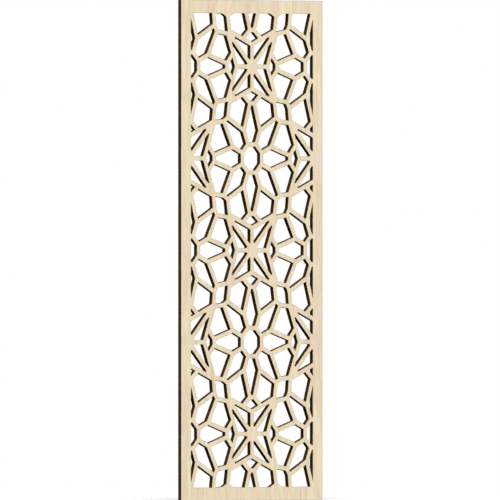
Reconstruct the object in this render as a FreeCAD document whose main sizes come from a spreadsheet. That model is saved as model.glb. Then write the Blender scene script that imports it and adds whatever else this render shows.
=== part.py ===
# Fretwork panel: one sheet of birch plywood, pressed from crossed veneers, with a lattice of eight-spoke
# stars and octagonal rosettes cut through all of them.
# X runs across the panel, Y through it from the front face to the back, and Z up.
# The origin is the middle of the bottom edge.
import FreeCAD, Part
import os
from math import acos, ceil, hypot, pi, tan

# Driving dimensions, in millimetres. A knot is a crossing of strut centre lines. Its place is a share of
# half a repeat, from the middle of its star, or for the octagon, petals and corners, of its rosette.
DIMENSIONS = {
    "panel_width": 800,
    "panel_height": 2100,
    "margin_width": 55,
    "face_veneer": 1.25,
    "inner_veneer": 1.5,
    "half_repeat_height": 385.5,
    "side_overlap": 11,
    "strut_width": 18.8,
    "point_width": 6,
    "octagon_knot": 0.153,
    "petal_knot": 0.3045,
    "spoke_knot": 0.2425,
    "diagonal_knot": 0.4085,
    "shoulder_across": 0.1465,
    "tip_along": 0.399,
    "tip_across": 0.0345,
    "middle_hexagon": 0.353,
    "middle_corner_along": 0.443,
    "middle_corner_across": 0.3845,
    "side_hexagon": 0.387,
    "side_corner_along": 0.4495,
    "side_corner_across": 0.405,
}

# The veneers between the two faces, from front to back. Their grain runs across and up in turn.
INNER_VENEERS = (
    "cross_veneer_1",
    "long_veneer_1",
    "cross_veneer_2",
    "long_veneer_2",
    "cross_veneer_3",
    "core_veneer",
    "cross_veneer_4",
    "long_veneer_3",
    "cross_veneer_5",
    "long_veneer_4",
    "cross_veneer_6",
)

# A regular octagon's half side for an apothem of one.
OCTAGON_HALF_SIDE = tan(pi / 8)

# A corner of a star's point that is sharper than this is cut off square.
SHARP_ANGLE = pi / 3

# Corners closer together than this are one corner.
SAME_POINT = 0.01

doc = FreeCAD.newDocument("fretwork_panel")
dims = doc.addObject("Spreadsheet::Sheet", "dims")
for row, (alias, value) in enumerate(DIMENSIONS.items(), start=1):
    dims.set(f"A{row}", alias)
    dims.set(f"B{row}", str(value))
    dims.setAlias(f"B{row}", alias)
doc.recompute()

# The pierced field inside the margins, and the repeat that fits it. Stars stand on the middle line and,
# with their middles just inside the margin, on both sides of the field.
field_half_width = dims.panel_width / 2 - dims.margin_width
field_bottom = dims.margin_width
field_top = dims.panel_height - dims.margin_width
middle_height = dims.panel_height / 2
half_repeat_width = field_half_width + dims.side_overlap
rows = ceil(middle_height / dims.half_repeat_height)

# A hole narrower than half the thickness of the sheet is left uncut.
panel_thickness = 2 * dims.face_veneer + len(INNER_VENEERS) * dims.inner_veneer
least_opening = panel_thickness / 2

# Each side of the field as an outward direction and the distance of its line from the origin.
FIELD_SIDES = (
    ((1, 0), field_half_width),
    ((-1, 0), field_half_width),
    ((0, 1), field_top),
    ((0, -1), -field_bottom),
)


def height_over(line, point):
    """Return how far a point lies beyond a line."""
    outward, limit = line
    return outward[0] * point[0] + outward[1] * point[1] - limit


def sides(polygon):
    """Return a polygon's sides as pairs of points."""
    return list(zip(polygon, polygon[1:] + polygon[:1]))


def clip(polygon, line):
    """Return what is left of a convex polygon on the near side of a line."""
    kept = []
    for start, end in sides(polygon):
        before = height_over(line, start)
        after = height_over(line, end)
        if before <= 0:
            kept.append(start)
        if before * after < 0:
            share = before / (before - after)
            kept.append((start[0] + share * (end[0] - start[0]), start[1] + share * (end[1] - start[1])))
    return [start for start, end in sides(kept) if hypot(end[0] - start[0], end[1] - start[1]) > SAME_POINT]


def unit(start, end):
    """Return the direction from one point to another."""
    length = hypot(end[0] - start[0], end[1] - start[1])
    return ((end[0] - start[0]) / length, (end[1] - start[1]) / length)


def side_lines(polygon):
    """Return the lines along a convex polygon's sides, facing outward."""
    area = sum(start[0] * end[1] - end[0] * start[1] for start, end in sides(polygon))
    turn = 1 if area > 0 else -1
    lines = []
    for start, end in sides(polygon):
        along = unit(start, end)
        outward = (turn * along[1], -turn * along[0])
        lines.append((outward, outward[0] * start[0] + outward[1] * start[1]))
    return lines


def least_width(polygon):
    """Return the width of a convex polygon where it is narrowest."""
    return min(max(-height_over(line, point) for point in polygon) for line in side_lines(polygon))


def placed(centre, ring):
    """Return a ring of knots in millimetres, from shares of half a repeat about a star or rosette."""
    points = []
    for across, along in ring:
        x = (centre[0] + across) * half_repeat_width
        z = middle_height + (centre[1] + along) * dims.half_repeat_height
        points.append((x, z))
    return points


def opening(ring):
    """Return the hole inside a placed ring of knots, half a strut in from each centre line."""
    hole = ring
    for outward, limit in side_lines(ring):
        hole = clip(hole, (outward, limit - dims.strut_width / 2))
    for line in FIELD_SIDES:
        hole = clip(hole, line)
    return hole


def blunted(hole):
    """Return the hole of a star's point with its sharp corners cut off square, where they are point_width."""
    lines = []
    for place, corner in enumerate(hole):
        back = unit(corner, hole[place - 1])
        ahead = unit(corner, hole[(place + 1) % len(hole)])
        bisector = (back[0] + ahead[0], back[1] + ahead[1])
        length = hypot(*bisector)
        half_angle = acos(min(length / 2, 1))
        if 2 * half_angle < SHARP_ANGLE:
            outward = (-bisector[0] / length, -bisector[1] / length)
            depth = dims.point_width / 2 / tan(half_angle)
            lines.append((outward, outward[0] * corner[0] + outward[1] * corner[1] - depth))
    for line in lines:
        hole = clip(hole, line)
    return hole


def swapped(knot):
    """Mirror a knot about the diagonal."""
    return (knot[1], knot[0])


def flipped(knot):
    """Mirror a knot about the upright axis."""
    return (-knot[0], knot[1])


def facing(knot):
    """Return a knot of the star at the far corner of a half repeat, seen from the near star."""
    return (1 - knot[0], 1 - knot[1])


def crossing(first, second):
    """Return where two lines cross, each given by two of its knots."""
    (start, end), (other_start, other_end) = first, second
    run = (end[0] - start[0], end[1] - start[1])
    other_run = (other_end[0] - other_start[0], other_end[1] - other_start[1])
    apart = (other_start[0] - start[0], other_start[1] - start[1])
    spread = run[0] * other_run[1] - run[1] * other_run[0]
    share = (apart[0] * other_run[1] - apart[1] * other_run[0]) / spread
    return (start[0] + share * run[0], start[1] + share * run[1])


def quarter_turns(ring):
    """Return a ring of knots turned to all four quarters."""
    turns = [ring]
    for _ in range(3):
        turns.append([(-along, across) for across, along in turns[-1]])
    return turns


def all_eight(ring):
    """Return a lopsided ring of knots in all four quarters, with its mirror image in each."""
    return quarter_turns(ring) + quarter_turns([swapped(knot) for knot in ring])


# Knots of an upright arm, from a star at (0, 0) to a rosette at (0, 1). Stars on the middle line and on
# the sides share them. A star's points are bounded by straight struts from spoke to diagonal, and the
# shoulder is a knot on such a strut.
STAR = (0, 0)
SPOKE = (0, dims.spoke_knot)
DIAGONAL = (dims.diagonal_knot, dims.diagonal_knot)
SHOULDER_SHARE = dims.shoulder_across / dims.diagonal_knot
SHOULDER = (dims.shoulder_across, dims.spoke_knot + SHOULDER_SHARE * (dims.diagonal_knot - dims.spoke_knot))
TIP = (dims.tip_across, dims.tip_along)
PETAL = (dims.petal_knot * OCTAGON_HALF_SIDE, 1 - dims.petal_knot)
OCTAGON = (dims.octagon_knot * OCTAGON_HALF_SIDE, 1 - dims.octagon_knot)

# Knots that differ between the two: the hexagon's corner towards the star, and the corner of the
# rosette's diagonal petal.
MIDDLE_HEXAGON = (dims.middle_hexagon, dims.middle_hexagon)
MIDDLE_CORNER = (dims.middle_corner_across, 1 - dims.middle_corner_along)
SIDE_HEXAGON = (dims.side_hexagon, dims.side_hexagon)
SIDE_CORNER = (dims.side_corner_across, 1 - dims.side_corner_along)


def star_openings(centre, hexagon, corner):
    """Return the holes round one star: its points, and the kites, diamonds and petals about them."""
    landing = crossing((corner, hexagon), (SPOKE, DIAGONAL))
    points = all_eight([STAR, SPOKE, DIAGONAL])
    rings = all_eight([landing, SHOULDER, TIP, PETAL, corner])
    rings += quarter_turns([SPOKE, SHOULDER, TIP, flipped(TIP), flipped(SHOULDER)])
    rings += quarter_turns([TIP, PETAL, OCTAGON, flipped(OCTAGON), flipped(PETAL), flipped(TIP)])
    holes = [blunted(opening(placed(centre, point))) for point in points]
    return holes + [opening(placed(centre, ring)) for ring in rings]


def corner_openings(centre):
    """Return the holes between a middle star and the side stars: diagonal petals and hexagons."""
    petal = [
        OCTAGON,
        PETAL,
        MIDDLE_CORNER,
        facing(swapped(SIDE_CORNER)),
        facing(swapped(PETAL)),
        facing(swapped(OCTAGON)),
    ]
    hexagon = [
        MIDDLE_HEXAGON,
        MIDDLE_CORNER,
        facing(swapped(SIDE_CORNER)),
        facing(SIDE_HEXAGON),
        facing(SIDE_CORNER),
        swapped(MIDDLE_CORNER),
    ]
    return [opening(placed(centre, ring)) for ring in all_eight(petal) + quarter_turns(hexagon)]


def rosette_opening(centre):
    """Return the octagonal hole in the middle of a rosette."""
    corner = (dims.octagon_knot * OCTAGON_HALF_SIDE, dims.octagon_knot)
    pairs = quarter_turns([corner, flipped(corner)])
    return opening(placed(centre, [knot for pair in pairs for knot in pair]))


def lattice_openings():
    """Return every hole of the lattice that is wide enough to cut."""
    holes = []
    for row in range(-rows, rows + 1):
        if row % 2 == 0:
            holes += star_openings((0, row), MIDDLE_HEXAGON, MIDDLE_CORNER)
            holes += corner_openings((0, row))
            holes += [rosette_opening((side, row)) for side in (-1, 1)]
        else:
            holes.append(rosette_opening((0, row)))
            for side in (-1, 1):
                holes += star_openings((side, row), SIDE_HEXAGON, SIDE_CORNER)
    return [hole for hole in holes if len(hole) > 2 and least_width(hole) > least_opening]


def outline_sketch():
    """Draw the panel's edge and every hole, in the upright plane through the origin."""
    sketch = doc.addObject("Sketcher::SketchObject", "fretwork_outline")
    sketch.Placement.Rotation = FreeCAD.Rotation(FreeCAD.Vector(1, 0, 0), 90)
    half_width = dims.panel_width / 2
    edge = [
        (-half_width, 0),
        (half_width, 0),
        (half_width, dims.panel_height),
        (-half_width, dims.panel_height),
    ]
    lines = []
    for polygon in [edge, *lattice_openings()]:
        for start, end in sides(polygon):
            lines.append(Part.LineSegment(FreeCAD.Vector(*start, 0), FreeCAD.Vector(*end, 0)))
    sketch.addGeometry(lines, False)
    return sketch


def veneer(label, fretwork, thickness, front):
    """Make one veneer from the fretwork's face. Its thickness and front are expressions on the sheet."""
    sheet = doc.addObject("Part::Extrusion", label)
    sheet.Label = label
    sheet.Base = fretwork
    sheet.DirMode = "Custom"
    sheet.Dir = FreeCAD.Vector(0, 1, 0)
    sheet.setExpression("LengthFwd", thickness)
    sheet.setExpression("Placement.Base.y", front)
    return sheet


fretwork = doc.addObject("Part::Face", "fretwork")
fretwork.Sources = [outline_sketch()]
fretwork.FaceMakerClass = "Part::FaceMakerBullseye"

half_inner = f"{len(INNER_VENEERS) / 2} * dims.inner_veneer"
front_face = veneer("front_face_veneer", fretwork, "dims.face_veneer", f"-{half_inner} - dims.face_veneer")
inner_veneers = [
    veneer(label, fretwork, "dims.inner_veneer", f"{place} * dims.inner_veneer - {half_inner}")
    for place, label in enumerate(INNER_VENEERS)
]
back_face = veneer("back_face_veneer", fretwork, "dims.face_veneer", half_inner)
veneers = [front_face, *inner_veneers, back_face]
doc.recompute()

for item in doc.Objects:
    if "Invalid" in item.State or "Error" in item.State:
        raise RuntimeError(f"{item.Label} failed to recompute")
for sheet in veneers:
    if sheet.Shape.isNull() or not sheet.Shape.isValid() or len(sheet.Shape.Solids) != 1:
        raise RuntimeError(f"{sheet.Label} is not one sound solid")

os.makedirs("parts", exist_ok=True)
for sheet in veneers:
    sheet.Shape.exportStep(f"parts/{sheet.Label}.step")
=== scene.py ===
# Fretwork panel: laser-cut birch plywood on a white studio floor, in metres, in the CAD frame.
import bpy
from math import cos, pi, radians, sin
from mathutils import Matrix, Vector
from typing import NamedTuple


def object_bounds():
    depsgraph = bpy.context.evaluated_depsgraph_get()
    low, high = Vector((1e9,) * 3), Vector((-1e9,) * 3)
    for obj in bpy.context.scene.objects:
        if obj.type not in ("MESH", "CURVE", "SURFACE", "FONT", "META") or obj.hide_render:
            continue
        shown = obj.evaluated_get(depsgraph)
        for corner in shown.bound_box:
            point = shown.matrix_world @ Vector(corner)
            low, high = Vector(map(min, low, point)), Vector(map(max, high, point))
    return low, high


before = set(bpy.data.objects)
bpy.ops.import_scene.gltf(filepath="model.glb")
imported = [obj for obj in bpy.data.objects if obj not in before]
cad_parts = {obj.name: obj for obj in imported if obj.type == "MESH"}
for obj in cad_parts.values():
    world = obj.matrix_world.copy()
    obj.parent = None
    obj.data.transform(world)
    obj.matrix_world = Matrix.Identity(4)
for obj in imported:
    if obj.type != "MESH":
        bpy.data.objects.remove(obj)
cad_low, cad_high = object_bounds()
panel_middle = (cad_low + cad_high) / 2
panel_height = cad_high.z - cad_low.z


class Grain(NamedTuple):
    """A noise pattern: its seed, its patches to the metre along X, Y and Z, its detail and its roughness."""

    seed: int
    patches: tuple
    detail: int
    roughness: float = 0.5


class Ramp(NamedTuple):
    """A number that eases from start to end while another one runs from low to high."""

    low: float
    high: float
    start: float = 0.0
    end: float = 1.0


# The photograph: a square picture as tall as the panel, taken from far away at half height.
PICTURE_PX = 500
PANEL_MIDDLE_PX = (250.52, 250.28)
CAMERA_AZIMUTH = radians(-42.1)
CAMERA_LENS_MM = 1600
CAMERA_SENSOR_MM = 36

# Sanded birch runs between a cream and a pinkish tone, with darker streaks. All colours are linear light.
CREAM_BIRCH = (0.885, 0.787, 0.555, 1)
PINKISH_BIRCH = (0.855, 0.70, 0.535, 1)
STREAK_BIRCH = (0.58, 0.43, 0.245, 1)

# Grain of the faces. All of it runs up the panel and sways across it, within the sway's width.
SWAY_GRAIN = Grain(31, (2.2, 1, 0.9), 1)
SWAY_WIDTH = 0.09
TONE_GRAIN = Grain(32, (17, 1, 2.5), 2)
BAND_GRAIN = Grain(34, (75, 1, 5), 3, 0.6)
FIBRE_GRAIN = Grain(35, (320, 1, 14), 2)
PORE_GRAIN = Grain(36, (1300, 1, 95), 1)

# Growth rings are waves along a noise's contours, with this phase in radians over the noise's whole range.
RING_GRAIN = Grain(33, (5, 1, 0.9), 2)
RING_PHASE = 90

# How much of the pinkish tone, or of the streaks' colour, each pattern of the grain brings.
TONE_SHARE = Ramp(0.3, 0.7)
RING_SHARE = Ramp(0.1, 1.0, 0.0, 0.16)
BAND_SHARE = Ramp(0.4, 0.75, 0.0, 0.34)
FIBRE_SHARE = Ramp(0.4, 0.75, 0.0, 0.22)
PORE_SHARE = Ramp(0.65, 0.76, 0.0, 0.5)

# Cut walls are charred, darkest where the cut crosses the grain. The walls of the openings are painted
# darker than the outside of the panel: that is painted shade in the openings.
SHADED_SIDE_CHAR = (0.057, 0.0280, 0.0090, 1)
SHADED_END_CHAR = (0.034, 0.0152, 0.0041, 1)
OUTER_SIDE_CHAR = (0.065, 0.0370, 0.0150, 1)
OUTER_END_CHAR = (0.042, 0.0217, 0.0074, 1)
OUTER_EDGE_DEPTH = 0.0005

# Soot on the cut walls lies in streaks through the sheet, along the beam, and in larger patches.
SOOT = (0.008, 0.0042, 0.0016, 1)
SOOT_GRAIN = Grain(0, (260, 12, 260), 4, 0.65)
SOOT_SHARE = Ramp(0.42, 0.66)
PATCH_GRAIN = Grain(5, (18, 18, 18), 2)
PATCH_SHARE = Ramp(0.3, 0.7, 0.35, 0.9)

# The beam also toasts the face along each cut, more in some places than in others. A normal that is rounded
# over this reach is less like the face's own the closer it is to a cut, and the share follows that likeness.
TOASTED_BIRCH = (0.28, 0.155, 0.06, 1)
TOASTED_REACH = 0.005
TOASTED_SAMPLES = 6
TOASTED_SHARE = Ramp(0.72, 0.998, 1.0, 0.0)
HEAT_GRAIN = Grain(37, (18, 18, 18), 3)
HEAT_SHARE = Ramp(0.35, 0.65, 0.6, 1.0)

# Finish. A face veneer has a faint sheen, and an inner one, which shows only charred walls, has none.
# Reliefs are heights in metres.
FACE_ROUGHNESS = Ramp(0.2, 0.8, 0.55, 0.75)
FACE_RELIEF = 0.00006
FACE_VENEER_SPECULAR = 0.15
WALL_ROUGHNESS = Ramp(0.3, 0.7, 0.75, 0.95)
WALL_RELIEF = 0.00015
INNER_VENEER_SPECULAR = 0.0
RELIEF_UNIT = 1.0
RELIEF_STRENGTH = 0.6

# A surface whose normal points this much along Y, or more, is a broad side of the sheet.
BROAD_SIDE = 0.5

# Noise runs from 0 to 1 about its middle. A seed moves it this far along X, Y and Z.
NOISE_MIDDLE = 0.5
SEED_STEP = Vector((1, 2, 3))

# The sky lights the panel evenly, and the camera sees it as plain white.
WHITE = (1, 1, 1, 1)
PLAIN_STRENGTH = 1.0
AMBIENT = 0.82

# Two soft lights: the key high up on the camera's side, and a weaker fill behind the panel.
KEY_LEVEL = 1.35
KEY_AZIMUTH = radians(-42)
KEY_ELEVATION = radians(60)
BACK_FILL_LEVEL = 0.52
BACK_FILL_AZIMUTH = radians(138)
BACK_FILL_ELEVATION = radians(25)
SOFTBOX_ANGLE = radians(40)
SOFTBOX_DISTANCE = 6

# The floor comes out white in this light. It gives little light back, so that walls that face down stay
# dark, and it fades into the background between two distances from the panel.
FLOOR_WHITE = (0.50, 0.50, 0.497, 1)
FLOOR_BOUNCE = (0.06, 0.06, 0.0594, 1)
FLOOR_SIZE = 60
FLOOR_FADE = Ramp(1.2, 4.5)


class Nodes:
    """A short way to add and wire shader nodes in one tree."""

    def __init__(self, tree):
        self.tree = tree
        tree.nodes.clear()

    def add(self, kind, inputs=None, **settings):
        """Add a node with its settings, and with a value or a link for each input that is named."""
        node = self.tree.nodes.new(kind)
        for name, value in settings.items():
            setattr(node, name, value)
        for name, value in (inputs or {}).items():
            self.set(node.inputs[name], value)
        return node

    def set(self, socket, value):
        """Link a socket to another one, or give it a plain value."""
        if isinstance(value, bpy.types.NodeSocket):
            self.tree.links.new(value, socket)
        else:
            socket.default_value = value

    def math(self, operation, *values):
        """Do a sum on one or two numbers."""
        node = self.add("ShaderNodeMath", operation=operation)
        for socket, value in zip(node.inputs, values):
            self.set(socket, value)
        return node.outputs[0]

    def mix(self, factor, first, second):
        """Mix two colours, through the mix node's sockets for colours."""
        return self.add("ShaderNodeMix", {0: factor, 6: first, 7: second}, data_type="RGBA").outputs[2]

    def blend(self, factor, first, second):
        """Mix two numbers, through the mix node's sockets for numbers."""
        return self.add("ShaderNodeMix", {0: factor, 2: first, 3: second}, data_type="FLOAT").outputs[0]

    def ramp(self, value, ramp):
        """Turn a value into the number that a ramp gives it."""
        inputs = {0: value, 1: ramp.low, 2: ramp.high, 3: ramp.start, 4: ramp.end}
        return self.add("ShaderNodeMapRange", inputs, interpolation_type="SMOOTHSTEP").outputs[0]

    def noise(self, place, grain, veneer_seed):
        """A grain's noise, which differs from veneer to veneer."""
        offset = SEED_STEP * (grain.seed + veneer_seed)
        moved = self.add("ShaderNodeMapping", {"Vector": place, "Location": offset, "Scale": grain.patches})
        pattern = {"Scale": 1.0, "Detail": grain.detail, "Roughness": grain.roughness}
        return self.add("ShaderNodeTexNoise", {"Vector": moved.outputs[0], **pattern}).outputs["Fac"]


def new_material(name):
    """Make an empty node material."""
    material = bpy.data.materials.new(name)
    material.use_nodes = True
    return material, Nodes(material.node_tree)


def outer_edge(nodes, place):
    """One on the panel's outer edges and zero on the walls of its openings, which get the painted shade."""
    x, _, z = nodes.add("ShaderNodeSeparateXYZ", {0: place}).outputs
    from_side = nodes.math("SUBTRACT", cad_high.x, nodes.math("ABSOLUTE", x))
    from_bottom = nodes.math("SUBTRACT", z, cad_low.z)
    from_top = nodes.math("SUBTRACT", cad_high.z, z)
    from_end = nodes.math("MINIMUM", from_bottom, from_top)
    return nodes.math("LESS_THAN", nodes.math("MINIMUM", from_side, from_end), OUTER_EDGE_DEPTH)


def charred_wall_with_painted_shade(nodes, place, end_grain, veneer_seed):
    """Colour of a laser-cut wall, with painted shade on the walls of the openings, and the streaks of soot
    on it.
    """
    # Painted shade: the walls of the openings take the darker char, and the outside of the panel the paler
    # one.
    shaded_char = nodes.mix(end_grain, SHADED_SIDE_CHAR, SHADED_END_CHAR)
    outer_char = nodes.mix(end_grain, OUTER_SIDE_CHAR, OUTER_END_CHAR)
    wall = nodes.mix(outer_edge(nodes, place), shaded_char, outer_char)
    streaks = nodes.noise(place, SOOT_GRAIN, veneer_seed)
    patches = nodes.noise(place, PATCH_GRAIN, veneer_seed)
    soot = nodes.math("MULTIPLY", nodes.ramp(streaks, SOOT_SHARE), nodes.ramp(patches, PATCH_SHARE))
    return nodes.mix(soot, wall, SOOT), streaks


def swaying(nodes, place, veneer_seed):
    """The place that the grain is drawn at, moved across the panel so that its lines aren't straight."""
    sway = nodes.math("SUBTRACT", nodes.noise(place, SWAY_GRAIN, veneer_seed), NOISE_MIDDLE)
    across = nodes.math("MULTIPLY", sway, SWAY_WIDTH)
    shift = nodes.add("ShaderNodeCombineXYZ", {"X": across}).outputs[0]
    return nodes.add("ShaderNodeVectorMath", {0: place, 1: shift}, operation="ADD").outputs[0]


def toasted_line(nodes, place, veneer_seed):
    """How much the face is toasted: only close to a cut, and more in some places than in others."""
    rounded = nodes.add("ShaderNodeBevel", {"Radius": TOASTED_REACH}, samples=TOASTED_SAMPLES).outputs[0]
    flat = nodes.add("ShaderNodeNewGeometry").outputs["True Normal"]
    likeness = nodes.add("ShaderNodeVectorMath", {0: rounded, 1: flat}, operation="DOT_PRODUCT")
    near_cut = nodes.ramp(likeness.outputs["Value"], TOASTED_SHARE)
    heat = nodes.ramp(nodes.noise(place, HEAT_GRAIN, veneer_seed), HEAT_SHARE)
    return nodes.math("MULTIPLY", near_cut, heat)


def birch_face(nodes, place, veneer_seed):
    """Colour of sanded rotary-cut birch with upright grain, and its bands and fibres."""
    along = swaying(nodes, place, veneer_seed)
    tone = nodes.noise(along, TONE_GRAIN, veneer_seed)
    contours = nodes.noise(along, RING_GRAIN, veneer_seed)
    rings = nodes.math("SINE", nodes.math("MULTIPLY", contours, RING_PHASE))
    bands = nodes.noise(along, BAND_GRAIN, veneer_seed)
    fibres = nodes.noise(along, FIBRE_GRAIN, veneer_seed)
    pores = nodes.noise(along, PORE_GRAIN, veneer_seed)
    colour = nodes.mix(nodes.ramp(tone, TONE_SHARE), CREAM_BIRCH, PINKISH_BIRCH)
    streaks = ((rings, RING_SHARE), (bands, BAND_SHARE), (fibres, FIBRE_SHARE), (pores, PORE_SHARE))
    for pattern, share in streaks:
        colour = nodes.mix(nodes.ramp(pattern, share), colour, STREAK_BIRCH)
    return nodes.mix(toasted_line(nodes, place, veneer_seed), colour, TOASTED_BIRCH), bands, fibres


def veneer_material(name, grain_axis, veneer_seed, faced):
    """One veneer: charred where it is cut, with painted shade in its openings, and, where faced, sanded
    birch on its broad side.
    """
    material, nodes = new_material(name)
    coordinates = nodes.add("ShaderNodeTexCoord").outputs
    place = coordinates["Object"]
    normal = nodes.add("ShaderNodeSeparateXYZ", {0: coordinates["Normal"]}).outputs
    end_grain = nodes.math("ABSOLUTE", normal[grain_axis])
    colour, streaks = charred_wall_with_painted_shade(nodes, place, end_grain, veneer_seed)
    rough = nodes.ramp(streaks, WALL_ROUGHNESS)
    height = nodes.math("MULTIPLY", streaks, WALL_RELIEF)
    if faced:
        broad_side = nodes.math("GREATER_THAN", nodes.math("ABSOLUTE", normal["Y"]), BROAD_SIDE)
        birch, bands, fibres = birch_face(nodes, place, veneer_seed)
        colour = nodes.mix(broad_side, colour, birch)
        rough = nodes.blend(broad_side, rough, nodes.ramp(bands, FACE_ROUGHNESS))
        height = nodes.blend(broad_side, height, nodes.math("MULTIPLY", fibres, FACE_RELIEF))
    bumps = {"Height": height, "Strength": RELIEF_STRENGTH, "Distance": RELIEF_UNIT}
    relief = nodes.add("ShaderNodeBump", bumps)
    shader = nodes.add("ShaderNodeBsdfPrincipled", {"Base Color": colour, "Roughness": rough})
    specular = FACE_VENEER_SPECULAR if faced else INNER_VENEER_SPECULAR
    nodes.set(shader.inputs["Specular IOR Level"], specular)
    nodes.set(shader.inputs["Normal"], relief.outputs[0])
    nodes.add("ShaderNodeOutputMaterial", {"Surface": shader.outputs[0]})
    return material


def dress_veneers():
    """Give each veneer a wood of its own, so that no two have the same grain."""
    for veneer_seed, (name, veneer) in enumerate(sorted(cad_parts.items())):
        grain_axis = "X" if name.startswith("cross") else "Z"
        material = veneer_material(name + "_wood", grain_axis, veneer_seed, faced="face" in name)
        for slot in veneer.material_slots:
            slot.material = material


def seen_directly(nodes):
    """One for the rays that show a background: from the camera, in a reflection or through glass."""
    path = nodes.add("ShaderNodeLightPath").outputs
    seen = nodes.math("MAXIMUM", path["Is Camera Ray"], path["Is Glossy Ray"])
    return nodes.math("MAXIMUM", seen, path["Is Transmission Ray"])


def make_world():
    """A sky that lights the panel evenly and shows as white."""
    world = bpy.data.worlds.new("studio")
    world.use_nodes = True
    bpy.context.scene.world = world
    nodes = Nodes(world.node_tree)
    light = nodes.add("ShaderNodeBackground", {"Color": WHITE, "Strength": AMBIENT}).outputs[0]
    white = nodes.add("ShaderNodeBackground", {"Color": WHITE, "Strength": PLAIN_STRENGTH}).outputs[0]
    both = nodes.add("ShaderNodeMixShader", {0: seen_directly(nodes), 1: light, 2: white})
    nodes.add("ShaderNodeOutputWorld", {"Surface": both.outputs[0]})


def floor_paint():
    """Paint that keeps the panel's shadow and turns into the white background further away."""
    material, nodes = new_material("floor_paint")
    place = nodes.add("ShaderNodeTexCoord").outputs["Object"]
    distance = nodes.add("ShaderNodeVectorMath", {0: place}, operation="LENGTH").outputs["Value"]
    seen = seen_directly(nodes)
    colour = nodes.mix(seen, FLOOR_BOUNCE, FLOOR_WHITE)
    paint = nodes.add("ShaderNodeBsdfDiffuse", {"Color": colour}).outputs[0]
    white = nodes.add("ShaderNodeEmission", {"Color": WHITE, "Strength": PLAIN_STRENGTH}).outputs[0]
    far = nodes.math("MULTIPLY", nodes.ramp(distance, FLOOR_FADE), seen)
    both = nodes.add("ShaderNodeMixShader", {0: far, 1: paint, 2: white})
    nodes.add("ShaderNodeOutputMaterial", {"Surface": both.outputs[0]})
    return material


def make_floor():
    """A wide white floor under the panel."""
    middle = (panel_middle.x, panel_middle.y, cad_low.z)
    bpy.ops.mesh.primitive_plane_add(size=FLOOR_SIZE, location=middle)
    floor = bpy.context.object
    floor.name = "floor"
    floor.data.materials.append(floor_paint())


def direction_from(azimuth, elevation):
    """From the panel towards a viewer: azimuth 0 is in front, and a negative one on the left."""
    return Vector((sin(azimuth) * cos(elevation), -cos(azimuth) * cos(elevation), sin(elevation)))


def add_softbox(name, azimuth, elevation, level):
    """A wide, distant light. At level 1, a surface that faces it shows its colour as it is written."""
    lamp = bpy.data.lights.new(name, "SUN")
    lamp.energy = level * pi
    lamp.angle = SOFTBOX_ANGLE
    softbox = bpy.data.objects.new(name, lamp)
    back = direction_from(azimuth, elevation)
    softbox.location = panel_middle + back * SOFTBOX_DISTANCE
    softbox.rotation_euler = (-back).to_track_quat("-Z", "Y").to_euler()
    bpy.context.scene.collection.objects.link(softbox)


def add_camera():
    """A long lens at half the panel's height, with the panel where the photograph has it."""
    data = bpy.data.cameras.new("camera")
    data.lens = CAMERA_LENS_MM
    data.sensor_width = CAMERA_SENSOR_MM
    distance = panel_height * CAMERA_LENS_MM / CAMERA_SENSOR_MM
    data.clip_end = 2 * distance
    camera = bpy.data.objects.new("camera", data)
    back = direction_from(CAMERA_AZIMUTH, 0)
    camera.rotation_euler = (-back).to_track_quat("-Z", "Y").to_euler()
    pixel = panel_height / PICTURE_PX
    right = Vector((cos(CAMERA_AZIMUTH), sin(CAMERA_AZIMUTH), 0))
    across = (PICTURE_PX / 2 - PANEL_MIDDLE_PX[0]) * pixel
    up = (PANEL_MIDDLE_PX[1] - PICTURE_PX / 2) * pixel
    camera.location = panel_middle + back * distance + right * across + Vector((0, 0, up))
    bpy.context.scene.collection.objects.link(camera)
    bpy.context.scene.camera = camera


dress_veneers()
make_world()
make_floor()
add_softbox("key", KEY_AZIMUTH, KEY_ELEVATION, KEY_LEVEL)
add_softbox("back_fill", BACK_FILL_AZIMUTH, BACK_FILL_ELEVATION, BACK_FILL_LEVEL)
add_camera()
bpy.context.scene.view_settings.view_transform = "Standard"
